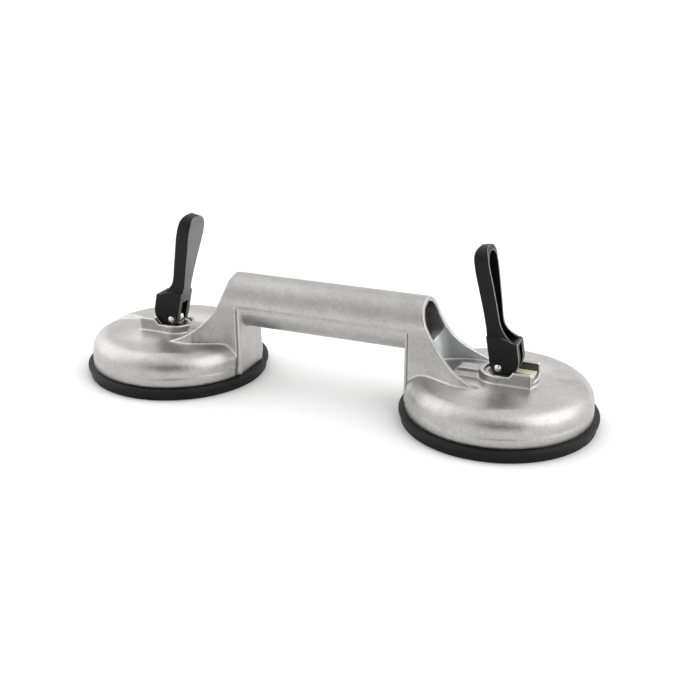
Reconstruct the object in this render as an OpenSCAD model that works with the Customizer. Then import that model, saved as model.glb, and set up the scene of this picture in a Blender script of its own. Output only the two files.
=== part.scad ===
// Two-cup vacuum lifter: one die-cast handle with two rubber suction discs.
// Each disc is drawn up by an eye stud when its cam lever is folded outwards.
// Frame: origin on the standing surface midway between the cups, +X along the
// handle, +Z up. A cup is drawn about its own axis with +X pointing away from
// the handle, and at_cup() puts it in its place.

/* [Layout] */
// Distance from the middle of the handle to each cup's axis
cup_x = 110.5; // [100:0.5:130]

/* [Housing] */
// Outer radius of the housing's skirt
skirt_r = 56.3; // [55.5:0.1:57]
// Height of the skirt's lower edge, where it stands on the rubber
skirt_z = 7.2; // [6.8:0.1:7.4]
// Height of the faint step that runs round the skirt
step_z = 12.9; // [11:0.1:14]
// Depth of that step
step_d = 0.4; // [0.2:0.1:0.6]
// Height of the flat top of the housing
top_z = 27.3; // [27:0.1:27.6]
// Radius of the rounded shoulder
shoulder_r = 11; // [10:0.5:12]
// Wall thickness of the casting
wall = 4.2; // [4:0.1:4.4]

/* [Handle] */
// Height of the tube's axis
tube_z = 54.3; // [52:0.1:56]
// Outer half-width of the tube
tube_r = 15.7; // [15.2:0.1:16.2]
// How far the tube's two half-rounds are moved apart, each way
tube_rise = 1.4; // [1:0.1:1.8]
// Wall thickness of the tube
tube_wall = 3; // [2.6:0.1:3.2]
// Distance from the cup's axis to the upright's inner face
upright_u = 55.3; // [55:0.1:55.6]
// Radius of the saddle cut that shapes the flanks, about a line across the cup
saddle_r = 52.4; // [51:0.1:54]
// Height of that line
saddle_z = 78.1; // [77:0.1:79]
// Distance of that line outwards from the cup's axis
saddle_u = 6.1; // [5:0.1:7]
// How far each flank flares outwards at its foot
flank_flare = 8.3; // [7:0.1:9]

/* [Collar] */
// Outer radius of the ring round the stud
ring_r = 12.3; // [12:0.1:12.6]
// Inner radius of that ring
ring_bore_r = 9.4; // [9.2:0.1:9.6]
// Height of the ring's top
ring_z = 32.6; // [32.2:0.1:32.8]
// Half-width between the guide walls
channel_half = 8.3; // [8.1:0.1:8.5]
// Half-width over the guide walls
walls_half = 12; // [11.8:0.1:12.2]
// Height of the guide walls
walls_z = 35.9; // [35:0.1:36.2]
// Distance from the cup's axis to the walls' outer ends
walls_u = 21.3; // [20.8:0.1:21.6]
// Radius of the sill in front of the walls, about the cup's axis
sill_r = 23.5; // [23:0.1:24.5]

/* [Lever] */
// Lean of the right lever towards the handle when released, in degrees
right_lean = 9; // [8:0.5:11.5]
// Lean of the left lever towards the handle when released, in degrees
left_lean = 11.5; // [8:0.5:11.5]
// Distance from the pin to the block's front face
front_d = 13.3; // [13.2:0.05:13.4]
// Cam rise for each degree of lever travel
rise_per_deg = 0.0889; // [0.087:0.0001:0.0889]
// Radius of the block's heel about the pin
heel_r = 4.2; // [4:0.05:4.2]
// Distance from the pin to the block's back face
back_d = 4.6; // [4.4:0.1:5]
// Half-width of the block
block_half = 7.5; // [7.2:0.1:7.7]
// Half-width of the slot that holds the stud's eye
slot_half = 3.5; // [3.4:0.05:3.6]
// Thickness of the rim round the arm's hollow
arm_wall = 1.3; // [1.2:0.1:1.6]

/* [Stud and disc] */
// Outer radius of the rubber disc
disc_r = 60; // [59:0.1:61]
// Radius of the disc's lower band
disc_foot_r = 58.7; // [58:0.1:58.8]
// Thickness of the rubber diaphragm at rest
membrane_t = 3.6; // [3:0.1:3.8]
// Radius of the steel plate on the rubber
plate_r = 24; // [22:0.5:26]
// Radius of the draw stud
stud_r = 4.5; // [4.4:0.05:4.5]
// Radius of the pivot pin
pin_r = 2.25; // [2.2:0.05:2.5]
// Running clearance of each pin and bore, on radius
running = 0.05; // [0.03:0.01:0.08]

/* [Hidden] */
$fn = 96;

RIGHT = 1;
LEFT = -1;
alloy = [0.72, 0.71, 0.69];
steel = [0.62, 0.63, 0.65];
zinc = [0.82, 0.84, 0.86];
black_plastic = [0.09, 0.09, 0.10];
black_rubber = [0.07, 0.07, 0.07];
cream = [0.90, 0.86, 0.76];
bronze = [0.72, 0.55, 0.33];

eps = 0.01;
far = 100;

shoulder_u = skirt_r - step_d - shoulder_r;
shoulder_z = top_z - shoulder_r;
cavity_z = top_z - wall;
bush_r = 6.5;
bush_flange_r = 8.5;
bush_flange_t = 1;
seat_t = 1;
seat_r = 12.5;
pocket_z = 29.6;
pocket_u = 20.5;
wear_t = 1.5;
wear_z = pocket_z + wear_t;
sill_z = 30.6;
pocket_gap = 0.1;

// Height of the pin above the wear plate when the lever stands at angle a:
// 0 upright, 90 folded outwards, less than 0 leaning towards the handle.
function pin_height(a) = front_d - rise_per_deg * (90 - a);
right_pin_z = wear_z + pin_height(-right_lean);
left_pin_z = wear_z + pin_height(-left_lean);
cam_b = rise_per_deg * 180 / PI;
first_contact = -12;
contact_step = 3;

plate_t = 2.2;
hub_r = 8;
hub_t = 3.8;
thread_r = 4;
thread_gap = 0.03;
washer_r = 8;
washer_t = 0.8;
nut_flats = 13;
nut_t = 3.2;
thread_top = hub_t + washer_t + nut_t + 0.6;
pin_to_plate = right_pin_z - 5;
flats_half = 3.3;
flats_drop = front_d + 0.5;
spring_r = 11;
spring_wire = 1.6;
spring_play = 0.05;
pin_end = 8.3;
pin_dome = 0.7;
slot_top = 12.5;
counterbore_r = 3.5;
counterbore_t = 0.6;

// ---- Helpers ----

// Puts a cup's own shapes at the right or left end of the handle.
module at_cup(side) {
  translate([side * cup_x, 0, 0])
    mirror([side == LEFT ? 1 : 0, 0, 0])
      children();
}

// Extrudes an outline drawn in (X, Z) across Y, to the given half-width.
module across(half) {
  rotate([90, 0, 0])
    linear_extrude(2 * half, center = true)
      children();
}

// Extrudes an outline drawn in (Y, Z) along X, from the first to the last place.
module along(first, last) {
  translate([first, 0, 0])
    rotate([90, 0, 90])
      linear_extrude(last - first)
        children();
}

// A box from its lowest to its highest corner.
module span(low, high) {
  translate(low)
    cube(high - low);
}

// A smooth curve through points: each stretch follows its neighbours' slope.
function curve_at(p, i, t) =
  let (
    n = len(p) - 1,
    a = p[max(i - 1, 0)],
    b = p[i],
    c = p[min(i + 1, n)],
    d = p[min(i + 2, n)]
  )
  0.5 * (2 * b + (c - a) * t + (2 * a - 5 * b + 4 * c - d) * t * t
    + (3 * b - a - 3 * c + d) * t * t * t);
function smooth_curve(p, steps) = concat(
  [for (i = [0 : len(p) - 2]) for (k = [0 : steps - 1]) curve_at(p, i, k / steps)],
  [p[len(p) - 1]]
);
function reversed(p) = [for (i = [len(p) - 1 : -1 : 0]) p[i]];

// Joins mirrored plan outlines, one at each height, into one solid. Its floor and
// roof are strips from each point to the point mirrored across the X axis.
module stacked_plans(plans, heights) {
  count = len(plans[0]);
  levels = len(heights);
  points = [for (k = [0 : levels - 1]) for (p = plans[k]) [p[0], p[1], heights[k]]];
  strips = [for (i = [0 : count / 2 - 2]) [i, i + 1, count - 2 - i, count - 1 - i]];
  roof = (levels - 1) * count;
  sides = [
    for (k = [0 : levels - 2])
    for (i = [0 : count - 1])
    for (half = [0, 1])
    let (
      j = (i + 1) % count,
      low = k * count,
      high = (k + 1) * count
    )
    half == 0 ? [low + i, high + i, high + j] : [low + i, high + j, low + j]
  ];
  roof_strips = [for (s = strips) [for (i = reversed(s)) roof + i]];
  polyhedron(points, concat(strips, roof_strips, sides), convexity = 4);
}

// ---- Body casting ----

// Section of the housing's outside, with its skirt step and round shoulder.
module housing_outside() {
  translate([0, skirt_z])
    square([skirt_r, step_z - skirt_z]);
  translate([0, skirt_z])
    square([skirt_r - step_d, shoulder_z - skirt_z]);
  translate([0, skirt_z])
    square([shoulder_u, top_z - skirt_z]);
  intersection() {
    translate([shoulder_u, shoulder_z])
      circle(shoulder_r);
    translate([shoulder_u - shoulder_r, shoulder_z - eps])
      square([2 * shoulder_r, shoulder_r + eps]);
  }
}

// Section of the space inside the housing.
module housing_inside() {
  floor_z = skirt_z - 1;
  translate([0, floor_z])
    square([skirt_r - wall, shoulder_z - floor_z]);
  translate([0, floor_z])
    square([shoulder_u, cavity_z - floor_z]);
  intersection() {
    translate([shoulder_u, shoulder_z])
      circle(shoulder_r - wall + step_d);
    translate([shoulder_u - shoulder_r, shoulder_z - eps])
      square([2 * shoulder_r, cavity_z - shoulder_z + eps]);
  }
}

// Section of the handle tube: two half-rounds a little apart, so it is slightly tall.
module tube_section(r) {
  for (s = [-1, 1])
    translate([0, tube_z + s * tube_rise])
      circle(r);
  translate([-r, tube_z - tube_rise])
    square([2 * r, 2 * tube_rise]);
}

// The tube between the parting grooves: its lower half is set back by the mould's core.
module parted_section() {
  intersection() {
    tube_section(tube_r);
    translate([-far, tube_z])
      square(2 * far);
  }
  tube_section(tube_r - parting_back);
}

// Outer half-width of the upright at distance u inwards from the cup's axis, at
// height z: straight by the inner face, flaring outwards and downwards. It stays a
// hair inside the tube's side, so that the two never only graze each other. A groove
// marks where the mould halves part, and the stretch behind it is set back a little.
flare_u = -45.5;
flare_run = 26;
parting_u = -52.8;
parting_back = 0.4;
groove_w = 0.9;
groove_d = 1;
tangent_gap = 0.02;
function ramp(t) = let (c = min(max(t, 0), 1)) c * c * (3 - 2 * c);
function flare_share(z) = min(max((tube_z - z) / (tube_z - top_z), 0), 1);
function parting(u) = u > parting_u - eps ? 0 : u > parting_u - groove_w - eps ? groove_d : parting_back;
function flank(u, z) =
  tube_r - tangent_gap - parting(u)
  + flank_flare * ramp((u - flare_u) / flare_run) * flare_share(z);

// Half-width of the channel between the flanks, which ends in a rounded back.
channel_back_u = -44;
channel_round = 8;
function channel(u, z) =
  let (short = max(channel_back_u + channel_round - u, 0) / channel_round)
  (flank(u, z) - tube_wall) * sqrt(max(1 - short * short, 0.0001));

function mirrored_plan(near) = concat(
  [for (p = near) [p[0], -p[1]]],
  [for (p = reversed(near)) p]
);

upright_steps = concat(
  [-upright_u, parting_u - groove_w - 0.1, parting_u - groove_w, parting_u - 0.1, parting_u],
  [for (u = [-48 : 4 : -8]) u],
  [-6]
);
channel_steps = concat(
  [for (a = [0 : 15 : 90]) channel_back_u + channel_round * (1 - cos(a))],
  [for (u = [-33 : 4 : -9]) u],
  [0]
);
upright_levels = [skirt_z, top_z, 36, 45, tube_z];
channel_levels = [top_z, 36, 45, tube_z];

// Solid upright under one end of the tube, before the saddle and channel are cut.
module upright() {
  stacked_plans(
    [for (z = upright_levels) mirrored_plan([for (u = upright_steps) [u, flank(u, z)]])],
    upright_levels
  );
}

// What is cut from the upright and the tube's end: the saddle and the channel.
module upright_cuts() {
  translate([saddle_u, 0, saddle_z])
    rotate([90, 0, 0])
      cylinder(r = saddle_r, h = 2 * far, center = true, $fn = 128);
  stacked_plans(
    [for (z = channel_levels) mirrored_plan([for (u = channel_steps) [u, channel(u, z)]])],
    channel_levels
  );
}

// The rib that ties the collar's ring to the upright.
rib_end_u = -27;
rib_half = 4.6;
rib_foot_half = 6;
rib_z = 31.8;
rib_foot_z = 28.7;
rib_chamfer = 2.4;
module rib() {
  across(rib_half)
    polygon([
      [rib_end_u, top_z - 1], [rib_end_u, rib_z - rib_chamfer],
      [rib_end_u + rib_chamfer, rib_z], [0, rib_z], [0, top_z - 1]
    ]);
  span([rib_end_u - 1, -rib_foot_half, top_z - 1], [0, rib_foot_half, rib_foot_z]);
}

// The raised collar: a ring round the stud, two guide walls and a low sill.
module collar() {
  root_z = top_z - 1;
  wall_rise_u = 7.8;
  wall_top_u = 10;
  translate([0, 0, root_z])
    cylinder(r = ring_r, h = ring_z - root_z);
  intersection() {
    translate([0, 0, root_z])
      cylinder(r = sill_r, h = sill_z - root_z);
    span([0, -walls_half, root_z], [sill_r + 1, walls_half, sill_z]);
  }
  across(walls_half)
    polygon([
      [0, root_z], [walls_u, root_z], [walls_u, walls_z],
      [wall_top_u, walls_z], [wall_rise_u, ring_z], [0, ring_z]
    ]);
}

// The keyhole pocket for the wear plate, with the channel above it.
module pocket(r, half, length) {
  cylinder(r = r, h = far);
  translate([0, -half, 0])
    cube([length, 2 * half, far]);
}

// The shallow dished ramp outwards from the collar that gives fingers room under the
// lever. Its sides lean outwards, and it runs out through the rounded shoulder.
ramp_start_u = sill_r + 0.5;
ramp_start_half = 9.7;
ramp_end_u = 54.6;
ramp_end_half = 13;
ramp_corner = 7.5;
ramp_fall = 0.134;
ramp_lean = 1.6;
ramp_deep = 4;
ramp_above = 1;

// Near half of the ramp's outline at a given height above the housing's flat top.
function ramp_outline(above) =
  let (
    grow = ramp_lean * above,
    corner = ramp_corner + grow,
    middle = [ramp_end_u - corner, ramp_end_half - ramp_corner]
  )
  concat(
    [[ramp_start_u, ramp_start_half + grow]],
    [for (a = [0 : 15 : 90]) middle + corner * [sin(a), cos(a)]]
  );

module finger_ramp() {
  heights = [-ramp_deep, ramp_above];
  intersection() {
    stacked_plans(
      [for (h = heights) mirrored_plan(ramp_outline(h))],
      [for (h = heights) top_z + h]
    );
    across(far)
      polygon([
        [ramp_start_u - 1, top_z + ramp_fall],
        [ramp_end_u + 3, top_z - ramp_fall * (ramp_end_u + 3 - ramp_start_u)],
        [ramp_end_u + 3, far], [ramp_start_u - 1, far]
      ]);
  }
}

// One cup's housing with its collar, before it is hollowed out.
module housing() {
  difference() {
    union() {
      rotate_extrude()
        housing_outside();
      rib();
      collar();
    }
    finger_ramp();
    translate([0, 0, pocket_z])
      pocket(ring_bore_r, channel_half, pocket_u);
    span([walls_u - 1, -channel_half, sill_z], [walls_u + 1, channel_half, far]);
    span([-far, -far, -1], [-upright_u, far, far]);
  }
}

// The space under one housing, and the bore for its guide bush.
module housing_hollow() {
  rotate_extrude()
    housing_inside();
  translate([0, 0, cavity_z - 1])
    cylinder(r = bush_r, h = far);
}

module body_casting() {
  color(alloy)
    difference() {
      union() {
        for (side = [RIGHT, LEFT])
          at_cup(side)
            housing();
        difference() {
          union() {
            along(-cup_x - parting_u, cup_x + parting_u)
              parted_section();
            for (side = [RIGHT, LEFT])
              at_cup(side) {
                along(parting_u, 0)
                  tube_section(tube_r);
                upright();
              }
          }
          for (side = [RIGHT, LEFT])
            at_cup(side)
              upright_cuts();
        }
      }
      for (side = [RIGHT, LEFT])
        at_cup(side)
          housing_hollow();
      along(-cup_x, cup_x)
        tube_section(tube_r - tube_wall);
    }
}

// ---- Rubber disc ----

// Section of the moulded disc. The diaphragm's top is where the steel plate lies.
module rubber_section(plate_z) {
  lip_z = 5;
  lip_round = 1.1;
  foot_round = 0.9;
  seal_r = 46;
  bead_in = 48.8;
  bead_out = skirt_r - wall - 0.3;
  bead_z = 10;
  difference() {
    union() {
      // diaphragm
      translate([0, plate_z - membrane_t])
        square([seal_r + 1, membrane_t]);
      // lower band with a rounded foot
      translate([seal_r, foot_round])
        square([disc_foot_r - seal_r, lip_z - foot_round]);
      translate([seal_r, 0])
        square([disc_foot_r - foot_round - seal_r, lip_z]);
      translate([disc_foot_r - foot_round, foot_round])
        circle(foot_round);
      // upper lip with rounded edges
      translate([seal_r, lip_z - eps])
        square([disc_r - lip_round - seal_r, skirt_z - lip_z + eps]);
      translate([disc_r - lip_round, lip_z + lip_round - eps])
        circle(lip_round);
      translate([disc_r - lip_round, skirt_z - lip_round])
        circle(lip_round);
      // locating bead inside the skirt
      translate([bead_in, lip_z])
        square([bead_out - bead_in, bead_z - lip_z]);
    }
    // grooves in the sealing face
    for (r = [49.5, 52.5, 55.5])
      translate([r, -eps])
        square([1, 0.6]);
  }
  // low grip rings under the diaphragm
  for (r = [16, 26, 36])
    translate([r, plate_z - membrane_t - 0.6])
      square([1.6, 0.6 + eps]);
}

module rubber_disc(pin_z) {
  color(black_rubber)
    rotate_extrude($fn = 128)
      rubber_section(pin_z - pin_to_plate);
}

// ---- Stud assembly: everything that rises with the stud ----

module disc_plate(pin_z) {
  plate_z = pin_z - pin_to_plate;
  color(steel)
    translate([0, 0, plate_z])
      difference() {
        union() {
          cylinder(r = plate_r, h = plate_t);
          cylinder(r = hub_r, h = hub_t);
        }
        translate([0, 0, 1])
          cylinder(r = thread_r, h = hub_t);
      }
}

module draw_stud(pin_z) {
  plate_z = pin_z - pin_to_plate;
  shank_z = plate_z + thread_top;
  color(zinc)
    difference() {
      union() {
        translate([0, 0, plate_z + 1])
          cylinder(r = thread_r - thread_gap, h = thread_top);
        translate([0, 0, shank_z])
          cylinder(r = stud_r, h = pin_z - flats_drop - shank_z);
        intersection() {
          translate([0, 0, pin_z - flats_drop - eps])
            cylinder(r = stud_r, h = flats_drop + stud_r + eps);
          union() {
            span([-stud_r - 1, -flats_half, pin_z - flats_drop - 1], [stud_r + 1, flats_half, pin_z]);
            translate([0, 0, pin_z])
              rotate([90, 0, 0])
                cylinder(r = stud_r - 0.4, h = 2 * flats_half, center = true);
          }
        }
      }
      translate([0, 0, pin_z])
        rotate([90, 0, 0])
          cylinder(r = pin_r, h = far, center = true);
    }
}

module plate_washer(pin_z) {
  color(zinc)
    translate([0, 0, pin_z - pin_to_plate + hub_t])
      difference() {
        cylinder(r = washer_r, h = washer_t);
        translate([0, 0, -1])
          cylinder(r = thread_r + 0.2, h = washer_t + 2);
      }
}

module lock_nut(pin_z) {
  color(zinc)
    translate([0, 0, pin_z - pin_to_plate + hub_t + washer_t])
      difference() {
        cylinder(r = nut_flats / 2 / cos(30), h = nut_t, $fn = 6);
        translate([0, 0, -1])
          cylinder(r = thread_r, h = nut_t + 2);
      }
}

module pivot_pin(pin_z) {
  dome_r = (pin_r * pin_r + pin_dome * pin_dome) / (2 * pin_dome);
  plain_half = pin_end - pin_dome;
  color(zinc)
    translate([0, 0, pin_z])
      rotate([90, 0, 0]) {
        cylinder(r = pin_r, h = 2 * plain_half, center = true);
        for (flip = [0, 1])
          mirror([0, 0, flip])
            intersection() {
              translate([0, 0, pin_end - dome_r])
                sphere(dome_r);
              translate([0, 0, plain_half - eps])
                cylinder(r = pin_r, h = 1);
            }
      }
}

// ---- Pieces that stay in the casting ----

// Outer form of the coil spring, between the disc plate and its seat.
module return_spring(pin_z) {
  spring_z = pin_z - pin_to_plate + plate_t;
  spring_top = cavity_z - seat_t;
  color(steel)
    translate([0, 0, spring_z + spring_play])
      difference() {
        cylinder(r = spring_r, h = spring_top - spring_z - 2 * spring_play);
        translate([0, 0, -1])
          cylinder(r = spring_r - spring_wire, h = far);
      }
}

module spring_seat() {
  color(zinc)
    translate([0, 0, cavity_z - seat_t])
      difference() {
        cylinder(r = seat_r, h = seat_t);
        translate([0, 0, -1])
          cylinder(r = bush_flange_r + 0.2, h = seat_t + 2);
      }
}

module guide_bush() {
  color(bronze)
    difference() {
      union() {
        translate([0, 0, cavity_z - bush_flange_t])
          cylinder(r = bush_flange_r, h = bush_flange_t);
        translate([0, 0, cavity_z - bush_flange_t])
          cylinder(r = bush_r, h = pocket_z - cavity_z + bush_flange_t);
      }
      cylinder(r = stud_r + running, h = far);
    }
}

module wear_plate() {
  color(cream)
    difference() {
      intersection() {
        translate([0, 0, pocket_z])
          pocket(ring_bore_r - pocket_gap, channel_half - pocket_gap, pocket_u - pocket_gap);
        span([-far, -far, pocket_z], [far, far, wear_z]);
      }
      cylinder(r = stud_r + 0.3, h = far);
    }
}

// ---- Cam lever ----

// A point of the cam: where it meets the wear plate with the lever at angle a.
cam_gap = 0.05;
function cam_point(a) = (pin_height(a) - cam_gap) * [sin(a), -cos(a)] + cam_b * [cos(a), sin(a)];

// Front and back edges of the arm in side view, from the block to the tip.
arm_front = [
  [13.1, 14.2], [9.9, 15.4], [7, 18.5], [4.8, 22], [3.6, 27], [3.4, 37], [3, 51], [2.4, 63],
  [2, 69], [1, 72.3]
];
arm_back = [
  [-5, 19.5], [-5.3, 36], [-5.9, 50], [-6.3, 62], [-6.2, 68.5], [-4.8, 71.8], [-2.5, 72.9]
];
// Half-width of the arm against height, from the block to the tip.
arm_half = [
  [7, 12], [6.8, 15.5], [5.2, 21.5], [5, 26], [6.4, 37], [8.3, 50], [9.7, 58.5], [9.8, 64.5],
  [8.5, 68.9], [6, 71.4], [2.8, 72.4]
];
arm_tip_z = 72.6;
// Ledge where the block's sides end, level at the back and falling to the front.
block_ledge = [[13.2, 14.1], [9, 16.2], [5, 18.3], [1, 19.6], [-far, 19.6]];

module lever_outline() {
  circle(heel_r);
  polygon(concat(
    [[-heel_r, 0], [0, -heel_r]],
    [for (a = [first_contact : contact_step : 90]) cam_point(a)],
    smooth_curve(arm_front, 4),
    reversed(smooth_curve(arm_back, 4)),
    [[-back_d, 1.5]]
  ));
}

module arm_front_view() {
  near = smooth_curve(arm_half, 4);
  polygon(concat(
    near,
    [[0, arm_tip_z]],
    [for (p = reversed(near)) [-p[0], p[1]]]
  ));
}

// The hollow in the arm's outer side: a rim runs round it.
pocket_floor_z = 14;
pocket_front_u = 11.2;
back_wall = 2.4;
tip_wall = 3.4;
tip_start_z = 55;
function lowered(z) = z - tip_wall * ramp((z - tip_start_z) / (arm_tip_z - tip_start_z));
module arm_hollow() {
  hollow_top = lowered(arm_tip_z);
  near = [for (p = smooth_curve(arm_half, 4)) [p[0] - arm_wall, lowered(p[1])]];
  intersection() {
    along(-far, far)
      polygon(concat(near, [for (p = reversed(near)) [-p[0], p[1]]]));
    across(far)
      polygon(concat(
        [[-1.2, pocket_floor_z], [pocket_front_u, pocket_floor_z], [pocket_front_u, 30], [30, 30]],
        [[30, hollow_top], [-1, hollow_top]],
        reversed([for (p = arm_back) if (p[1] < hollow_top - 2) [p[0] + back_wall, p[1]]])
      ));
  }
}

module lever(pin_z, lean) {
  color(black_plastic)
    translate([0, 0, pin_z])
      rotate([0, -lean, 0])
        difference() {
          union() {
            across(block_half)
              intersection() {
                lever_outline();
                polygon(concat([[-far, -far], [far, -far], [far, block_ledge[0][1]]], block_ledge));
              }
            intersection() {
              across(far)
                lever_outline();
              along(-far, far)
                arm_front_view();
            }
          }
          arm_hollow();
          span([-far, -slot_half, -far], [far, slot_half, slot_top]);
          rotate([90, 0, 0])
            cylinder(r = pin_r + running, h = far, center = true);
          for (s = [-1, 1])
            translate([0, s * block_half, 0])
              rotate([90, 0, 0])
                cylinder(r = counterbore_r, h = 2 * counterbore_t, center = true);
        }
}

// ---- Nodes ----

module right_rubber_disc() { at_cup(RIGHT) rubber_disc(right_pin_z); }
module right_disc_plate() { at_cup(RIGHT) disc_plate(right_pin_z); }
module right_draw_stud() { at_cup(RIGHT) draw_stud(right_pin_z); }
module right_plate_washer() { at_cup(RIGHT) plate_washer(right_pin_z); }
module right_lock_nut() { at_cup(RIGHT) lock_nut(right_pin_z); }
module right_return_spring() { at_cup(RIGHT) return_spring(right_pin_z); }
module right_spring_seat() { at_cup(RIGHT) spring_seat(); }
module right_guide_bush() { at_cup(RIGHT) guide_bush(); }
module right_wear_plate() { at_cup(RIGHT) wear_plate(); }
module right_pivot_pin() { at_cup(RIGHT) pivot_pin(right_pin_z); }
module right_lever() { at_cup(RIGHT) lever(right_pin_z, right_lean); }
module left_rubber_disc() { at_cup(LEFT) rubber_disc(left_pin_z); }
module left_disc_plate() { at_cup(LEFT) disc_plate(left_pin_z); }
module left_draw_stud() { at_cup(LEFT) draw_stud(left_pin_z); }
module left_plate_washer() { at_cup(LEFT) plate_washer(left_pin_z); }
module left_lock_nut() { at_cup(LEFT) lock_nut(left_pin_z); }
module left_return_spring() { at_cup(LEFT) return_spring(left_pin_z); }
module left_spring_seat() { at_cup(LEFT) spring_seat(); }
module left_guide_bush() { at_cup(LEFT) guide_bush(); }
module left_wear_plate() { at_cup(LEFT) wear_plate(); }
module left_pivot_pin() { at_cup(LEFT) pivot_pin(left_pin_z); }
module left_lever() { at_cup(LEFT) lever(left_pin_z, left_lean); }

body_casting();
right_rubber_disc();
right_disc_plate();
right_draw_stud();
right_plate_washer();
right_lock_nut();
right_return_spring();
right_spring_seat();
right_guide_bush();
right_wear_plate();
right_pivot_pin();
right_lever();
left_rubber_disc();
left_disc_plate();
left_draw_stud();
left_plate_washer();
left_lock_nut();
left_return_spring();
left_spring_seat();
left_guide_bush();
left_wear_plate();
left_pivot_pin();
left_lever();
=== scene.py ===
import math

import bmesh
import bpy
import numpy as np
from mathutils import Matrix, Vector


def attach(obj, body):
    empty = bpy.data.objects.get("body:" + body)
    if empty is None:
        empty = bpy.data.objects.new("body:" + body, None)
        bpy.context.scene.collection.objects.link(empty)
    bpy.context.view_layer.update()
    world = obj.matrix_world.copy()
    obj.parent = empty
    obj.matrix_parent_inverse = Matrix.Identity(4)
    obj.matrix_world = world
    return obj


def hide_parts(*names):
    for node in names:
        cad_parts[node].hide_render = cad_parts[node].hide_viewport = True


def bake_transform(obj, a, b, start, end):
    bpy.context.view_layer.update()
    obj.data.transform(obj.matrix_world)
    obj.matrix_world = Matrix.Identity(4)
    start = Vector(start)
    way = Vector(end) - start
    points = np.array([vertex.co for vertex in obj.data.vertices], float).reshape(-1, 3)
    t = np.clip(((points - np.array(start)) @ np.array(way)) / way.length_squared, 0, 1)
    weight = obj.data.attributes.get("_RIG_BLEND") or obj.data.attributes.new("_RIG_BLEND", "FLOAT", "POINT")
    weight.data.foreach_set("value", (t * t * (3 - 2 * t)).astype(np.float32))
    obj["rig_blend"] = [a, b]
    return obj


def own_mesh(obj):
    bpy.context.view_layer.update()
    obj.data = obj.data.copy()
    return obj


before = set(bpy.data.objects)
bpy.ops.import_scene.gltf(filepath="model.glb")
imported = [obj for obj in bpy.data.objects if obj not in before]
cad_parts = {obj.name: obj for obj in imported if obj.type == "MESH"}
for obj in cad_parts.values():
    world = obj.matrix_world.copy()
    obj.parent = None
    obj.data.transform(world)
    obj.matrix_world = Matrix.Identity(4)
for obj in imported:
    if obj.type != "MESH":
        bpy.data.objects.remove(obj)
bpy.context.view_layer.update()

MM = 0.001
SIDES = {"right": 1.0, "left": -1.0}

# Sizes in millimetres, the same as in part.scad. Heights are above the standing surface.
CUP_X = 110.5  # from the middle of the handle to each cup's axis
PIN_Z = {"right": 35.5989, "left": 35.3767}  # each pivot pin, with its lever up
PIN_TO_PLATE = 30.5989  # from a pin down to its disc plate's underside
CAVITY_Z = 23.1  # ceiling of the space under each housing
BUSH_TOP = 29.6
PIN_ENDS = ((0, 8.3), (0.9, 8.22), (1.5, 8.02), (1.95, 7.75), (2.17, 7.5), (2.25, 7.2))

# The rubber discs.
RIM_R = 48.0  # where the diaphragm meets the sealing ring
CENTRE_R = 22.0  # where the stretch that rides on the stud ends
SECTORS = 12  # bending pieces round that stretch
MEMBRANE = 3.6  # thickness of the diaphragm
FOOT_GROOVES = (49.5, 52.5, 55.5)  # inner radius of each groove in the sealing face
GROOVE_DEPTH = 0.6
CENTRE_RINGS = (16.0,)  # low grip rings under the diaphragm, by radius
SECTOR_RINGS = (26.4, 36.0)
RING_HEIGHT = 0.55

# The parts inside each housing.
PLATE_T = 2.2
HUB_T = 3.8  # of the plate and its hub together
WASHER_T = 0.8
NUT_T = 3.2
NUT_FLATS = 13.0
THREAD_R = 4.0
SEAT_T = 1.0
SPRING_R = 10.2
SPRING_TURNS = 3.75
SPRING_GAP = 0.05
WIRE = 1.6

# Zones of the casting's surface that get painted shade and painted light: X along the handle, Y across it,
# both from the middle, and Z up.
# Painted shade: a dark line down each upright's parting line, a soft dark band along the tube's, the
# collar's inside and the skirt's foot.
UPRIGHT_SEAM_X = (56.8, 57.7)
UPRIGHT_SEAM_Y = (9.0, 40.0)
UPRIGHT_SEAM_Z = (0.0, 52.5)
TUBE_SEAM_X = (-1.0, UPRIGHT_SEAM_X[0])
TUBE_SEAM_Z = (52.6, 54.4)
COLLAR_X = (CUP_X - 9.7, CUP_X + 22.0)
COLLAR_Y = (-1.0, 8.6)
COLLAR_Z = (29.2, 35.4)
SKIRT_FOOT_Z = (6.0, 7.35)
# Painted shade: the sides beyond the uprights darkened.
SHADED_FLANK_X = (UPRIGHT_SEAM_X[1] - 0.3, UPRIGHT_SEAM_X[1] + 2.0)
SHADED_FLANK_Z = (33.0, 54.0)
# Painted shade: the tube's upper half darkened, fully above the second height.
SHADED_CROWN_Z = (57.0, 64.0)
# Painted light: the flat tops beside the collars lightened.
LIT_TOP_X = (CUP_X - 22.0, CUP_X + 22.0)
LIT_TOP_Y = (13.0, 30.0)
LIT_TOP_Z = (26.6, 27.5)
# Painted reflection: the hollow between the flanks painted a light cool grey.
LIT_CHANNEL_X = (CUP_X - 46.0, CUP_X - 12.0)
LIT_CHANNEL_Z = (27.6, 46.0)
STUD_DARK_R = (6.6, 7.6)  # from full to none, on the wear plate round the stud

# How much the CAD shapes are evened out: each round pulls in, then gives part of it back.
RELAX_SHARES = (0.5, -0.3)
CASTING_FACES = 196000


# ---- Mesh tools ----

def link(name, data):
    """A new object in the scene."""
    piece = bpy.data.objects.new(name, data)
    bpy.context.scene.collection.objects.link(piece)
    return piece


def shade(mesh, angle):
    """Smooth shading, with edges sharper than the angle kept crisp; 0 keeps none."""
    mesh.polygons.foreach_set("use_smooth", [True] * len(mesh.polygons))
    if angle:
        mesh.set_sharp_from_angle(angle=math.radians(angle))


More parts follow.
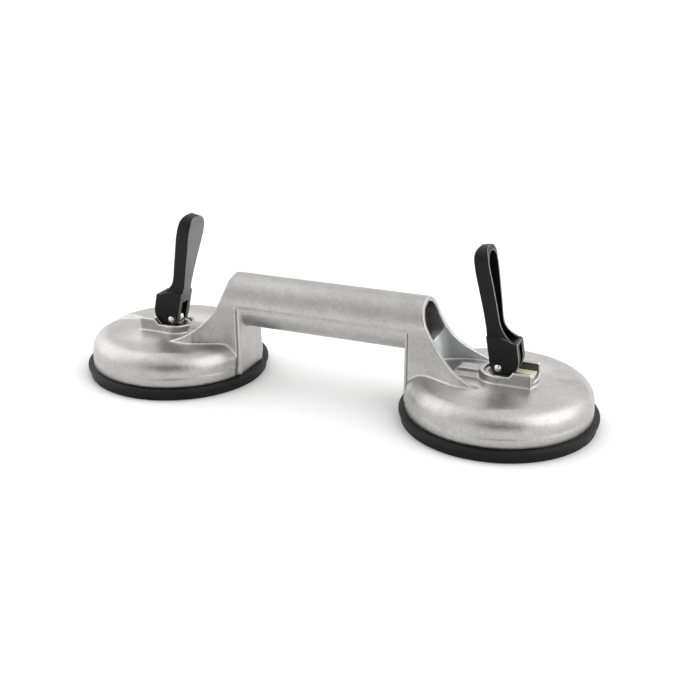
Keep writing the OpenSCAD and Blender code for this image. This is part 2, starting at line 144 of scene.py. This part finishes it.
def make(name, points, faces, smooth_angle=35.0):
    """A new object from points in millimetres, in the object's frame."""
    mesh = bpy.data.meshes.new(name)
    mesh.from_pydata([tuple(c * MM for c in p) for p in points], [], faces)
    bm = bmesh.new()
    bm.from_mesh(mesh)
    bmesh.ops.remove_doubles(bm, verts=bm.verts, dist=1e-7)
    bmesh.ops.recalc_face_normals(bm, faces=bm.faces)
    bm.to_mesh(mesh)
    bm.free()
    shade(mesh, smooth_angle)
    return link(name, mesh)


def rounded(outline, radius, steps=3):
    """A closed outline of (r, z) points with its corners rounded.

    A point may carry its own radius as a third number.
    """
    result = []
    count = len(outline)
    for i, here in enumerate(outline):
        own = here[2] if len(here) > 2 else radius
        p = Vector(here[:2])
        before = Vector(outline[i - 1][:2])
        after = Vector(outline[(i + 1) % count][:2])
        to_before, to_after = before - p, after - p
        turn = to_before.angle(to_after)
        if own <= 0 or turn > math.radians(179) or p.x < 1e-6:
            result.append((p.x, p.y))
            continue
        reach = own / math.tan(turn / 2)
        reach = min(reach, 0.48 * to_before.length, 0.48 * to_after.length)
        first = p + to_before.normalized() * reach
        last = p + to_after.normalized() * reach
        for k in range(steps + 1):
            t = k / steps
            q = first * (1 - t) ** 2 + p * 2 * t * (1 - t) + last * t ** 2
            result.append((q.x, q.y))
    return result


def revolve(outline, steps, centre=(0, 0, 0), first=0.0, last=360.0, axis="z"):
    """Points and faces of a closed (r, z) outline turned about the axis through the centre."""
    whole = abs(last - first - 360) < 1e-6
    turns = steps if whole else steps + 1
    count = len(outline)
    points = []
    for k in range(turns):
        a = math.radians(first + (last - first) * k / steps)
        for r, z in outline:
            x, y = r * math.cos(a), r * math.sin(a)
            p = (x, y, z) if axis == "z" else (x, -z, y)
            points.append(tuple(c + o for c, o in zip(p, centre)))
    faces = []
    for k in range(steps):
        here, there = k * count, ((k + 1) % turns) * count
        for i in range(count):
            j = (i + 1) % count
            if outline[i][0] < 1e-6 and outline[j][0] < 1e-6:
                continue
            corners = [here + i, here + j]
            if outline[j][0] > 1e-6:
                corners.append(there + j)
            if outline[i][0] > 1e-6:
                corners.append(there + i)
            faces.append(corners)
    if not whole:
        faces.append(list(range(count)))
        faces.append([steps * count + i for i in reversed(range(count))])
    return points, faces


def lathe(name, outline, steps, centre, **options):
    """A new object turned from a closed (r, z) outline."""
    return make(name, *revolve(outline, steps, centre, **options))


def joined_copy(node):
    """A copy of a CAD node's mesh with its split corners joined."""
    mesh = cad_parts[node].data.copy()
    mesh.materials.clear()
    bm = bmesh.new()
    bm.from_mesh(mesh)
    bmesh.ops.remove_doubles(bm, verts=bm.verts, dist=2e-7)
    bm.to_mesh(mesh)
    bm.free()
    for layer in [a.name for a in mesh.attributes if a.name == "custom_normal"]:
        mesh.attributes.remove(mesh.attributes[layer])
    return mesh


def applied(piece, name):
    """The piece's mesh with its modifiers applied, which then are removed."""
    graph = bpy.context.evaluated_depsgraph_get()
    mesh = bpy.data.meshes.new_from_object(piece.evaluated_get(graph))
    mesh.name = name
    piece.modifiers.clear()
    piece.data = mesh
    return mesh


def relax(mesh, rounds):
    """Moves each vertex to and from the mean of its neighbours, by RELAX_SHARES, each round."""
    count = len(mesh.vertices)
    co = np.empty(count * 3)
    mesh.vertices.foreach_get("co", co)
    co = co.reshape(-1, 3)
    pairs = np.empty(len(mesh.edges) * 2, np.int64)
    mesh.edges.foreach_get("vertices", pairs)
    a, b = pairs.reshape(-1, 2).T
    degree = np.maximum(np.bincount(a, minlength=count) + np.bincount(b, minlength=count), 1)
    for _ in range(rounds):
        for share in RELAX_SHARES:
            mean = np.stack([
                np.bincount(a, co[b, k], count) + np.bincount(b, co[a, k], count)
                for k in range(3)
            ], axis=1) / degree[:, None]
            co += share * (mean - co)
    mesh.vertices.foreach_set("co", co.ravel())
    mesh.update()


def softened(node, name, voxel, rounds, faces=None):
    """A CAD node's shape as an even mesh whose edges are rounded as the real part's are."""
    piece = link(name, joined_copy(node))
    remesh = piece.modifiers.new("remesh", "REMESH")
    remesh.mode = "VOXEL"
    remesh.voxel_size = voxel * MM * 1.0
    mesh = applied(piece, name)
    relax(mesh, rounds)
    triangles = 2 * len(mesh.polygons)
    if faces and triangles > faces:
        thin = piece.modifiers.new("thin", "DECIMATE")
        thin.ratio = faces / triangles
        mesh = applied(piece, name)
    shade(mesh, 0)
    return piece


def cup_centre(side, z=0.0):
    """A point on a cup's axis, in millimetres."""
    return (SIDES[side] * CUP_X, 0.0, z)


def plate_bottom(side):
    """Height of the disc plate's underside, which is the diaphragm's top."""
    return PIN_Z[side] - PIN_TO_PLATE


# ---- Materials ----
# Noise scales are in cells to a metre: 55 makes clouds about 18 mm across, 1900 specks of 0.5 mm.

# Sockets of a Mix node that is set to colours.
MIX_SHARE, MIX_FIRST, MIX_LAST, MIX_RESULT = 0, 6, 7, 2


def grey(value, warm=0.0):
    """A grey, made warmer or (below 0) cooler."""
    return (value * (1 + warm), value, value * (1 - warm), 1.0)


class Nodes:
    """Builds a node tree from short calls."""

    def __init__(self, tree):
        self.tree = tree

    def feed(self, socket, value):
        """Links a socket to another node's output, or sets it to a constant."""
        if isinstance(value, bpy.types.NodeSocket):
            self.tree.links.new(value, socket)
        else:
            socket.default_value = value

    def set(self, node, **sockets):
        """Feeds a node's sockets by name, with _ for a space."""
        for key, value in sockets.items():
            self.feed(node.inputs[key.replace("_", " ")], value)

    def add(self, kind, settings=None, **sockets):
        """A new node with its settings and sockets."""
        node = self.tree.nodes.new(kind)
        for key, value in (settings or {}).items():
            setattr(node, key, value)
        self.set(node, **sockets)
        return node

    def ramp(self, value, low, high, first=0.0, last=1.0, kind="LINEAR"):
        """The value's stretch from low to high, mapped to first..last and held beyond."""
        node = self.add("ShaderNodeMapRange", {"clamp": True, "interpolation_type": kind})
        self.set(node, Value=value, From_Min=low, From_Max=high, To_Min=first, To_Max=last)
        return node.outputs["Result"]

    def maths(self, operation, first, last):
        """One operation on two numbers."""
        node = self.add("ShaderNodeMath", {"operation": operation})
        self.feed(node.inputs[0], first)
        self.feed(node.inputs[1], last)
        return node.outputs[0]


class Material(Nodes):
    """Builds one procedural material around a Principled shader."""

    def __init__(self, name, **sockets):
        self.material = bpy.data.materials.new(name)
        self.material.use_nodes = True
        super().__init__(self.material.node_tree)
        self.shader = self.tree.nodes["Principled BSDF"]
        self.set(self.shader, **sockets)
        self.place = self.add("ShaderNodeTexCoord").outputs["Object"]

    def finished(self, **sockets):
        """The material, with the shader's last sockets fed."""
        self.set(self.shader, **sockets)
        return self.material

    def noise(self, scale, detail=3.0, roughness=0.55, stretch=None):
        """Fractal noise, from 0 to 1 with its middle near 0.5."""
        place = self.place
        if stretch:
            place = self.add("ShaderNodeMapping", Vector=place, Scale=stretch).outputs["Vector"]
        node = self.add("ShaderNodeTexNoise", Vector=place, Scale=scale)
        self.set(node, Detail=detail, Roughness=roughness)
        return node.outputs["Fac"]

    def mix(self, share, first, last, blend="MIX"):
        """The first colour where share is 0, blended with the last where it is 1."""
        node = self.add("ShaderNodeMix", {"data_type": "RGBA", "blend_type": blend})
        self.feed(node.inputs[MIX_SHARE], share)
        self.feed(node.inputs[MIX_FIRST], first)
        self.feed(node.inputs[MIX_LAST], last)
        return node.outputs[MIX_RESULT]

    def scaled(self, tone, factor, where):
        """The tone times the factor where the mask is 1."""
        return self.mix(where, tone, grey(factor), "MULTIPLY")

    def bump(self, height, strength, distance, under=None):
        """A surface normal with the height's relief, over another bump."""
        node = self.add("ShaderNodeBump", Height=height, Strength=strength, Distance=distance)
        if under:
            self.set(node, Normal=under)
        return node.outputs["Normal"]

    def edges(self, low, high, first=0.0, last=1.0):
        """A ramp over pointiness: 0.5 is flat, more is a convex edge, less is a hollow."""
        point = self.add("ShaderNodeNewGeometry").outputs["Pointiness"]
        return self.ramp(point, low, high, first, last)

    def place_mm(self):
        """Distances from the middle: along the handle, across it, and the height."""
        split = self.add("ShaderNodeSeparateXYZ", Vector=self.place)
        return [
            self.maths("ABSOLUTE", self.maths("DIVIDE", split.outputs[axis], MM), 0.0)
            for axis in "XYZ"
        ]

    def off_axis(self):
        """Squared distance from the nearer cup's axis, in square millimetres."""
        along, across, _ = self.place_mm()
        out = self.maths("POWER", self.maths("SUBTRACT", along, CUP_X), 2.0)
        return self.maths("ADD", out, self.maths("POWER", across, 2.0))

    def outwards(self, axis):
        """How far a face turns away from the middle plane of the axis, from -1 to 1."""
        place = self.add("ShaderNodeSeparateXYZ", Vector=self.place).outputs[axis]
        normal = self.add("ShaderNodeTexCoord").outputs["Normal"]
        turn = self.add("ShaderNodeSeparateXYZ", Vector=normal).outputs[axis]
        return self.maths("MULTIPLY", self.maths("SIGN", place, 0.0), turn)

    def between(self, value, zone, soft=0.25):
        """1 where the value lies in the zone, fading to 0 over the soft margin."""
        low, high = zone
        rise = self.ramp(value, low - soft, low + soft)
        fall = self.ramp(value, high - soft, high + soft, 1.0, 0.0)
        return self.maths("MULTIPLY", rise, fall)

    def all_of(self, *masks):
        """The product of masks; a number among them weakens the rest."""
        total = masks[0]
        for mask in masks[1:]:
            total = self.maths("MULTIPLY", total, mask)
        return total

    def any_of(self, *masks):
        """The strongest of masks."""
        total = masks[0]
        for mask in masks[1:]:
            total = self.maths("MAXIMUM", total, mask)
        return total


def painted_shade(m):
    """Painted shade on the casting: along the parting lines, inside the collar and at the skirt's foot."""
    along, across, height = m.place_mm()
    return m.any_of(
        m.all_of(
            m.between(along, UPRIGHT_SEAM_X), m.between(across, UPRIGHT_SEAM_Y),
            m.between(height, UPRIGHT_SEAM_Z), 0.75,
        ),
        m.all_of(
            m.between(along, TUBE_SEAM_X), m.between(height, TUBE_SEAM_Z, 1.1),
            m.ramp(m.noise(30.0, 3.0), 0.40, 0.62, 0.04, 0.24),
        ),
        m.all_of(
            m.between(along, COLLAR_X), m.between(across, COLLAR_Y, 0.15),
            m.between(height, COLLAR_Z, 0.3), m.ramp(m.outwards("Y"), 0.05, -0.3), 0.85,
        ),
        m.all_of(m.between(height, SKIRT_FOOT_Z, 0.2), 0.9),
    )


def cast_aluminium():
    """Bead-blasted die casting: satin grain, cloudy patches and edges burnished bright, with a painted
    highlight in its hollows and painted shade and painted light on zones of it.
    """
    m = Material("cast_aluminium", Metallic=1.0)
    clouds = m.noise(55.0, 5.0, 0.62)
    blotches = m.noise(170.0, 4.0, 0.6)
    grain = m.noise(620.0, 3.0, 0.7)
    fine = m.noise(1900.0, 2.0, 0.6)
    tone = m.mix(m.ramp(clouds, 0.34, 0.68), grey(0.39, 0.030), grey(0.475, 0.034))
    tone = m.mix(m.ramp(blotches, 0.40, 0.66, 0.0, 0.45), tone, grey(0.33, 0.022))
    tone = m.mix(m.ramp(grain, 0.30, 0.75, 0.0, 0.40), tone, grey(0.56, 0.025))
    tone = m.mix(1.0, tone, m.ramp(fine, 0.34, 0.66, 0.84, 1.16), "MULTIPLY")
    tone = m.mix(m.edges(0.515, 0.56), tone, grey(0.86, 0.01))
    # Painted highlight: hollows and creases painted lighter.
    tone = m.mix(m.edges(0.485, 0.45, 0.0, 0.7), tone, grey(0.72, 0.01))
    along, across, height = m.place_mm()
    # Painted shade: the sides beyond the uprights darkened by 0.84.
    shaded_flank = m.all_of(m.ramp(along, *SHADED_FLANK_X), m.between(height, SHADED_FLANK_Z, 4.0))
    tone = m.scaled(tone, 0.84, shaded_flank)
    # Painted shade: the tube's top darkened by 0.87.
    tone = m.scaled(tone, 0.87, m.ramp(height, *SHADED_CROWN_Z))
    # Painted light: the flat tops beside the collars lightened by 1.38, against the levers' dark reflection.
    lit_flat_top = m.all_of(
        m.between(along, LIT_TOP_X, 8.0), m.between(across, LIT_TOP_Y, 5.0),
        m.between(height, LIT_TOP_Z, 0.2),
    )
    tone = m.scaled(tone, 1.38, lit_flat_top)
    # Painted reflection: a light cool grey where light from the right-hand side would reflect into the
    # hollow between the flanks.
    lit_channel = m.all_of(
        m.between(along, LIT_CHANNEL_X), m.between(height, LIT_CHANNEL_Z, 2.0),
        m.ramp(m.outwards("Y"), -0.1, -0.35),
    )
    tone = m.mix(lit_channel, tone, (0.66, 0.70, 0.71, 1.0))
    # Painted shade: near-black over the parting lines, the collar's inside and the skirt's foot.
    tone = m.mix(painted_shade(m), tone, grey(0.055, 0.04))
    cloudy, grainy = m.ramp(clouds, 0.3, 0.7, 0.35, 0.42), m.ramp(grain, 0.3, 0.7, -0.03, 0.03)
    normal = m.bump(fine, 0.20, 0.0001)
    normal = m.bump(grain, 0.22, 0.00025, normal)
    normal = m.bump(blotches, 0.10, 0.0008, normal)
    return m.finished(
        Base_Color=tone, Roughness=m.maths("ADD", cloudy, grainy), Normal=normal,
    )


def moulded_rubber():
    """Black rubber with a slight bloom, and a painted highlight on its sealing ring's edges."""
    m = Material("moulded_rubber", Specular_IOR_Level=0.16)
    fine = m.noise(900.0, 2.0)
    bloom = m.noise(60.0, 3.0)
    tone = m.mix(m.ramp(bloom, 0.35, 0.7), grey(0.006), grey(0.011, -0.02))
    on_ring = m.ramp(m.off_axis(), (RIM_R + 0.3) ** 2, (RIM_R + 0.9) ** 2)
    # Painted highlight: the sealing ring's edges painted lighter.
    tone = m.mix(m.all_of(m.edges(0.52, 0.62), on_ring), tone, grey(0.03, -0.02))
    return m.finished(
        Base_Color=tone,
        Roughness=m.ramp(bloom, 0.3, 0.7, 0.42, 0.56),
        Normal=m.bump(fine, 0.15, 0.0002),
    )


def lever_plastic():
    """Glass-filled black nylon: fine spark texture, a painted highlight on the outer rim's edges, and the
    side facing the handle's middle glossier and painted lighter.
    """
    m = Material("lever_plastic")
    spark = m.noise(1700.0, 2.0, 0.6)
    patches = m.noise(70.0, 3.0)
    tone = m.mix(m.ramp(patches, 0.35, 0.7), grey(0.004, 0.03), grey(0.008, 0.03))
    outside = m.outwards("X")
    # Painted highlight: edges of the faces turned outward along the handle painted light grey.
    rim_highlight = m.all_of(m.edges(0.512, 0.55), m.ramp(outside, 0.1, 0.5))
    tone = m.mix(rim_highlight, tone, grey(0.45, -0.01))
    # The side facing the handle's middle: glossier, and painted lighter as painted light.
    lit_glossy_side = m.ramp(outside, -0.6, -0.9)
    tone = m.mix(lit_glossy_side, tone, grey(0.085, 0.01))
    return m.finished(
        Base_Color=tone,
        Specular_IOR_Level=m.ramp(lit_glossy_side, 0.0, 1.0, 0.19, 0.75),
        Roughness=m.ramp(patches, 0.3, 0.7, 0.34, 0.44),
        Normal=m.bump(spark, 0.12, 0.00012),
    )


def cream_acetal():
    """Cream wear plate, yellowed in patches, dark brown round the stud."""
    m = Material("cream_acetal", Subsurface_Weight=0.15, Subsurface_Scale=0.0015)
    m.set(m.shader, Subsurface_Radius=(1.0, 0.7, 0.4))
    worn = m.noise(120.0, 4.0)
    fine = m.noise(1100.0, 2.0)
    tone = m.mix(m.ramp(worn, 0.35, 0.7), (0.78, 0.72, 0.58, 1), (0.70, 0.62, 0.47, 1))
    # Dark brown round the stud, fading out between the two radii.
    stud_dark = m.ramp(m.off_axis(), STUD_DARK_R[0] ** 2, STUD_DARK_R[1] ** 2, 1.0, 0.0)
    tone = m.mix(stud_dark, tone, grey(0.03, 0.1))
    return m.finished(
        Base_Color=tone,
        Roughness=m.ramp(worn, 0.3, 0.7, 0.34, 0.46),
        Normal=m.bump(fine, 0.1, 0.0001),
    )


def metal(name, dark, light, rough, scale, stretch=None):
    """Plated or drawn metal with fine marks and slight tarnish."""
    m = Material(name, Metallic=1.0)
    tarnish = m.noise(90.0, 4.0)
    marks = m.noise(scale, 3.0, 0.6, stretch)
    dulled = m.ramp(tarnish, 0.3, 0.7, rough - 0.05, rough + 0.06)
    marked = m.ramp(marks, 0.3, 0.7, -0.04, 0.04)
    return m.finished(
        Base_Color=m.mix(m.ramp(tarnish, 0.35, 0.7), light, dark),
        Roughness=m.maths("ADD", dulled, marked),
        Normal=m.bump(marks, 0.12, 0.0001),
    )


LOOKS = {
    "cast_aluminium": cast_aluminium(),
    "disc_rubber": moulded_rubber(),
    "lever_plastic": lever_plastic(),
    "wear_plastic": cream_acetal(),
    "zinc_steel": metal("zinc_plate", grey(0.66, -0.012), grey(0.80, -0.012), 0.22, 700.0),
    "plate_steel": metal("pressed_steel", grey(0.42), grey(0.52), 0.36, 500.0, (1.0, 8.0, 1.0)),
    "spring_steel": metal("spring_wire", grey(0.30, 0.01), grey(0.42, 0.01), 0.30, 900.0),
    "bush_bronze": metal(
        "sintered_bronze", (0.42, 0.25, 0.11, 1), (0.60, 0.38, 0.18, 1), 0.42, 1300.0
    ),
}


def dress(piece, slot, body=None, node=None):
    """Gives a piece the look of its slot and its body, and hides the CAD node that it replaces."""
    if node:
        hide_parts(node)
    piece.data.materials.clear()
    piece.data.materials.append(LOOKS[slot])
    if body:
        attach(piece, body)


# ---- Casting, levers, wear plates and studs: from the CAD shape, edges rounded ----

dress(
    softened("body_casting", "casting", 0.62, 5, CASTING_FACES),
    "cast_aluminium", "root", "body_casting",
)
for side in SIDES:
    for node, name, voxel, rounds, slot, body in (
        (f"{side}_lever", f"{side}_cam_lever", 0.27, 4, "lever_plastic", f"{side}_lever"),
        (f"{side}_wear_plate", f"{side}_slide_plate", 0.22, 3, "wear_plastic", "root"),
        (f"{side}_draw_stud", f"{side}_eye_stud", 0.2, 3, "zinc_steel", f"{side}_stud"),
    ):
        dress(softened(node, name, voxel, rounds), slot, body, node)


# ---- Rubber discs ----

def rim_outline(plate_z):
    """Section of the sealing ring: foot, lip, locating bead and the diaphragm's outer edge."""
    low = plate_z - MEMBRANE
    outline = [(RIM_R, low, 0), (48.5, low, 0.6), (49.1, 0.25, 0.3), (49.3, 0.0, 0.2)]
    for r in FOOT_GROOVES:
        outline += [
            (r, 0.0, 0.15), (r + 0.15, GROOVE_DEPTH, 0.2),
            (r + 0.85, GROOVE_DEPTH, 0.2), (r + 1.0, 0.0, 0.15),
        ]
    outline += [
        (58.7, 0.0, 1.0), (58.72, 4.75, 0.35), (59.1, 5.0, 0.3), (60.0, 5.15, 0.75),
        (60.0, 7.2, 0.85), (51.7, 7.2, 0.3), (51.7, 10.0, 0.7), (48.9, 10.0, 0.7),
        (48.6, plate_z + 0.6, 0.5), (48.3, plate_z, 0.3), (RIM_R, plate_z, 0),
    ]
    return rounded(outline, 0.3)


def radii(first, last, step):
    """Radii a step apart from first, up or down to just short of last."""
    r = first
    while (last - r) * step > 1e-6:
        yield r
        r += step


def sheet_outline(plate_z, first, last, rings):
    """Section of a stretch of the diaphragm, with its low grip rings underneath."""
    low = plate_z - MEMBRANE
    step = 0.8
    under = []
    for r in radii(first, last, step):
        in_ring = any(abs(r - ring - step) < step + 0.01 for ring in rings)
        under.append((r, low - RING_HEIGHT if in_ring else low))
    over = [(r, plate_z) for r in radii(last, first, -2 * step)]
    return under + [(last, low)] + over + [(first, plate_z)]


for side in SIDES:
    plate_z = plate_bottom(side)
    centre = cup_centre(side)
    rim = lathe(f"{side}_sealing_rim", rim_outline(plate_z), 216, centre)
    dress(rim, "disc_rubber", "root", f"{side}_rubber_disc")
    outline = sheet_outline(plate_z, 0.0, CENTRE_R, CENTRE_RINGS)
    dress(
        lathe(f"{side}_diaphragm_centre", outline, 96, centre), "disc_rubber", f"{side}_stud"
    )
    outline = sheet_outline(plate_z, CENTRE_R, RIM_R, SECTOR_RINGS)
    half = 180.0 / SECTORS
    for k in range(SECTORS):
        mid = 360.0 * k / SECTORS
        sector = lathe(
            f"{side}_diaphragm_{k + 1:02d}", outline, 8, centre, first=mid - half, last=mid + half
        )
        dress(sector, "disc_rubber")
        out = Vector((math.cos(math.radians(mid)), math.sin(math.radians(mid)), 0))
        origin = Vector(centre) * MM
        start = origin + out * RIM_R * math.cos(math.radians(half)) * MM
        end = origin + out * CENTRE_R * MM
        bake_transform(sector, "root", f"{side}_stud", tuple(start), tuple(end))


# ---- Parts inside each housing ----

def coil_spring(name, low, high, centre):
    """A coil between two heights of its wire's middle, with its end turns closed flat."""
    around, steps = 12, int(36 * SPRING_TURNS)
    closed = 0.16  # share of the coil in each closed end
    points, faces = [], []
    for i in range(steps + 1):
        t = i / steps
        a = 2 * math.pi * SPRING_TURNS * t
        open_share = min(max((t - closed) / (1 - 2 * closed), 0.0), 1.0)
        closed_share = (min(t, closed) + max(t - (1 - closed), 0.0)) / (2 * closed)
        z = low + WIRE * closed_share + (high - low - WIRE) * open_share
        out = Vector((math.cos(a), math.sin(a), 0))
        middle = out * SPRING_R + Vector((0, 0, z)) + Vector(centre)
        for k in range(around):
            b = 2 * math.pi * k / around
            points.append(middle + (out * math.cos(b) + Vector((0, 0, math.sin(b)))) * WIRE / 2)
    for i in range(steps):
        for k in range(around):
            here, there, j = i * around, (i + 1) * around, (k + 1) % around
            faces.append([here + k, here + j, there + j, there + k])
    faces.append(list(range(around)))
    faces.append([steps * around + k for k in reversed(range(around))])
    return make(name, points, faces)


def hexagon_nut(name, low, centre):
    """A nut with both faces chamfered to a circle."""
    steps = 96
    slope = math.tan(math.radians(30))
    flat_r = NUT_FLATS / 2
    face_r = flat_r * 0.95
    bevel = 0.5  # at the bore's mouths
    points, faces = [], []
    for k in range(steps):
        a = 2 * math.pi * k / steps
        off_flat = (a + math.pi / 6) % (math.pi / 3) - math.pi / 6
        r = flat_r / math.cos(off_flat)
        drop = (r - face_r) * slope
        ring = [
            (THREAD_R + bevel, 0.0), (face_r, 0.0), (r, drop), (r, NUT_T - drop),
            (face_r, NUT_T), (THREAD_R + bevel, NUT_T),
            (THREAD_R, NUT_T - bevel), (THREAD_R, bevel),
        ]
        for radius, z in ring:
            points.append((radius * math.cos(a) + centre[0], radius * math.sin(a), low + z))
    for k in range(steps):
        here, there = 8 * k, 8 * ((k + 1) % steps)
        for i in range(8):
            j = (i + 1) % 8
            faces.append([here + i, here + j, there + j, there + i])
    return make(name, points, faces, 25)


for side in SIDES:
    centre = cup_centre(side)
    stud = f"{side}_stud"
    z = plate_bottom(side)
    hub_z = z + HUB_T
    nut_z = hub_z + WASHER_T
    seat_z = CAVITY_Z - SEAT_T
    plate = lathe(f"{side}_lift_plate", rounded([
        (0, z), (24, z, 0.5), (24, z + PLATE_T, 0.7), (9.0, z + PLATE_T, 0.8), (8.0, hub_z, 0.4),
        (4.6, hub_z, 0.1), (THREAD_R, z + 3.2, 0.1), (THREAD_R, z + 1.0, 0.0), (0, z + 1.0),
    ], 0.3), 120, centre)
    dress(plate, "plate_steel", stud, f"{side}_disc_plate")
    washer = lathe(f"{side}_flat_washer", rounded([
        (4.2, hub_z), (8, hub_z), (8, nut_z), (4.2, nut_z),
    ], 0.2), 72, centre)
    dress(washer, "zinc_steel", stud, f"{side}_plate_washer")
    nut = hexagon_nut(f"{side}_hexagon_nut", nut_z, centre)
    dress(nut, "zinc_steel", stud, f"{side}_lock_nut")
    margin = SPRING_GAP + WIRE / 2
    coil = coil_spring(f"{side}_coil_spring", z + PLATE_T + margin, seat_z - margin, centre)
    dress(coil, "spring_steel", "root", f"{side}_return_spring")
    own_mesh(coil)
    seat = lathe(f"{side}_seat_ring", rounded([
        (8.7, seat_z), (12.5, seat_z), (12.5, CAVITY_Z), (8.7, CAVITY_Z),
    ], 0.2), 96, centre)
    dress(seat, "zinc_steel", "root", f"{side}_spring_seat")
    bush = lathe(f"{side}_flanged_bush", rounded([
        (4.55, seat_z, 0.3), (8.5, seat_z, 0.2), (8.5, CAVITY_Z, 0.1), (6.5, CAVITY_Z, 0.1),
        (6.5, BUSH_TOP, 0.3), (4.55, BUSH_TOP, 0.3),
    ], 0.2), 72, centre)
    dress(bush, "bush_bronze", "root", f"{side}_guide_bush")
    outline = [(r, -y) for r, y in PIN_ENDS] + [(r, y) for r, y in reversed(PIN_ENDS)]
    pin = lathe(f"{side}_cross_pin", outline, 48, cup_centre(side, PIN_Z[side]), axis="y")
    dress(pin, "zinc_steel", stud, f"{side}_pivot_pin")


# ---- Floor, lights and camera ----

FLOOR_RINGS = [200 * 1.9 ** k for k in range(8)]  # radii in millimetres

# Soft patches of the surroundings: bearing, inner and outer half-angles, added radiance.
PATCHES = (
    ((-96.0, 34.0), 12.0, 44.0, 1.15),
    ((90.0, 36.0), 12.0, 46.0, 1.60),
    ((160.0, 25.0), 10.0, 60.0, 0.25),
    ((22.0, 24.0), 13.0, 36.0, -0.97),
)

CAMERA_BEARING = (22.31, 21.65)
CAMERA_DISTANCE = 0.648  # metres from the point that it looks at
CAMERA_TARGET = Vector((0.0142, 0.0, 0.0299))
CAMERA_LENS = 53.24
CAMERA_SENSOR = 36.0


def bearing(azimuth, elevation):
    """A direction from its angle right of the front (-Y) and its angle above level, in degrees."""
    a, e = math.radians(azimuth), math.radians(elevation)
    return (math.sin(a) * math.cos(e), -math.cos(a) * math.cos(e), math.sin(e))


def floor():
    """A seamless pale floor."""
    steps = 48
    points = [(0, 0, 0)]
    for r in FLOOR_RINGS:
        for k in range(steps):
            a = 2 * math.pi * k / steps
            points.append((r * math.cos(a), r * math.sin(a), 0))
    faces = [[0, 1 + k, 1 + (k + 1) % steps] for k in range(steps)]
    for i in range(len(FLOOR_RINGS) - 1):
        low, high = 1 + i * steps, 1 + (i + 1) * steps
        for k in range(steps):
            j = (k + 1) % steps
            faces.append([low + k, high + k, high + j, low + j])
    ground = make("studio_floor", points, faces, 0)
    m = Material("studio_floor", Roughness=0.9, Specular_IOR_Level=0.1)
    tone = m.mix(m.ramp(m.noise(6.0), 0.3, 0.7), grey(0.86), grey(0.88))
    ground.data.materials.append(m.finished(Base_Color=tone))


def studio():
    """A white tent with a soft box at either side and a dim opening at the front."""
    world = bpy.data.worlds.new("studio")
    bpy.context.scene.world = world
    world.use_nodes = True
    nodes = Nodes(world.node_tree)
    direction = nodes.add("ShaderNodeTexCoord").outputs["Generated"]
    total = 1.0
    for towards, inner, outer, gain in PATCHES:
        dot = nodes.add("ShaderNodeVectorMath", {"operation": "DOT_PRODUCT"})
        nodes.feed(dot.inputs[0], direction)
        nodes.feed(dot.inputs[1], bearing(*towards))
        start, full = math.cos(math.radians(outer)), math.cos(math.radians(inner))
        patch = nodes.ramp(dot.outputs["Value"], start, full, 0.0, gain, "SMOOTHSTEP")
        total = nodes.maths("ADD", patch, total)
    seen = nodes.add("ShaderNodeLightPath").outputs["Is Camera Ray"]
    strength = nodes.add("ShaderNodeMix", Factor=seen, A=total, B=1.0).outputs["Result"]
    nodes.set(world.node_tree.nodes["Background"], Strength=strength, Color=grey(1.0))


def camera():
    """The photograph's viewpoint."""
    view = bpy.data.cameras.new("camera")
    view.lens = CAMERA_LENS
    view.sensor_width = CAMERA_SENSOR
    view.clip_start, view.clip_end = 0.01, 100.0
    eye = link("camera", view)
    away = Vector(bearing(*CAMERA_BEARING))
    eye.location = CAMERA_TARGET + away * CAMERA_DISTANCE
    eye.rotation_euler = (-away).to_track_quat("-Z", "Y").to_euler()
    bpy.context.scene.camera = eye


floor()
studio()
camera()
bpy.context.scene.view_settings.view_transform = "Standard"
